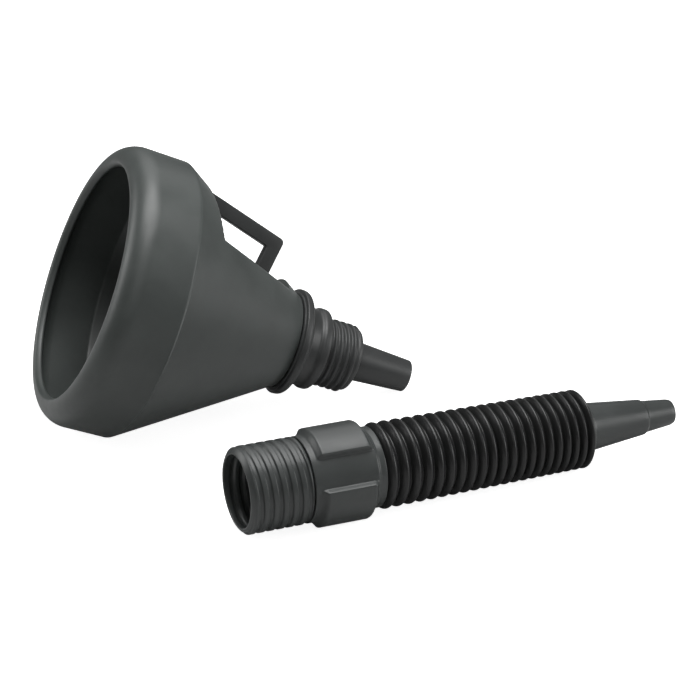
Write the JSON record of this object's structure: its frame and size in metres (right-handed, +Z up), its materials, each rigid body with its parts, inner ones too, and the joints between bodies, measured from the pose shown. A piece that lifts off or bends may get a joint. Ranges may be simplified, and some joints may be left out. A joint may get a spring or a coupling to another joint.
{
  "type": "funnel",
  "caption": "Wide fuel funnel with a rolled rim, strap handle and threaded neck, lying beside its detached screw-on spout with grip collar, flexible bellows and tapered nozzle.",
  "frame": {"origin": "centre of the bounding box, at the level of the surface that both pieces lie on", "axes": "+Z up; +X from the funnel's mouth towards its outlet side; +Y away from the spout, which lies on the -Y side of the funnel"},
  "size_m": [0.361, 0.2368, 0.1582],
  "materials": {
    "bowl": "satin moulded polyethylene, dark greenish grey",
    "neck": "satin moulded plastic, darker neutral grey",
    "sleeve": "satin moulded plastic, dark grey with soft highlights",
    "bellows": "soft black flexible plastic, low sheen"
  },
  "bodies": {
    "funnel": {"bowl": "bowl", "handle": "neck", "neck": "neck", "outlet_tube": "neck"},
    "spout": {"threaded_sleeve": "sleeve", "grip_collar": "sleeve", "bellows_front": "bellows"},
    "spout_middle": {"bellows_middle": "bellows"},
    "spout_end": {"bellows_rear": "bellows", "nozzle": "sleeve"}
  },
  "joints": [
    {"name": "spout_lift", "type": "slide", "parent": "funnel", "child": "spout", "axis": [0, 0, 1], "range_m": [0, 0.2]},
    {"name": "bend_front", "type": "hinge", "parent": "spout", "child": "spout_middle", "pos_m": [0.04294, -0.05379, 0.02358], "axis": [0, 0, 1], "range_deg": [-40, 40], "stiffness_Nm_per_rad": 0.05, "deforming": ["bellows_front", "bellows_middle"]},
    {"name": "bend_rear", "type": "hinge", "parent": "spout_middle", "child": "spout_end", "pos_m": [0.10251, -0.02739, 0.02221], "axis": [0, 0, 1], "range_deg": [-40, 40], "stiffness_Nm_per_rad": 0.05, "deforming": ["bellows_rear"]}
  ],
  "couplings": [
    {"joint": "bend_rear", "follows": "bend_front", "ratio": 1}
  ]
}
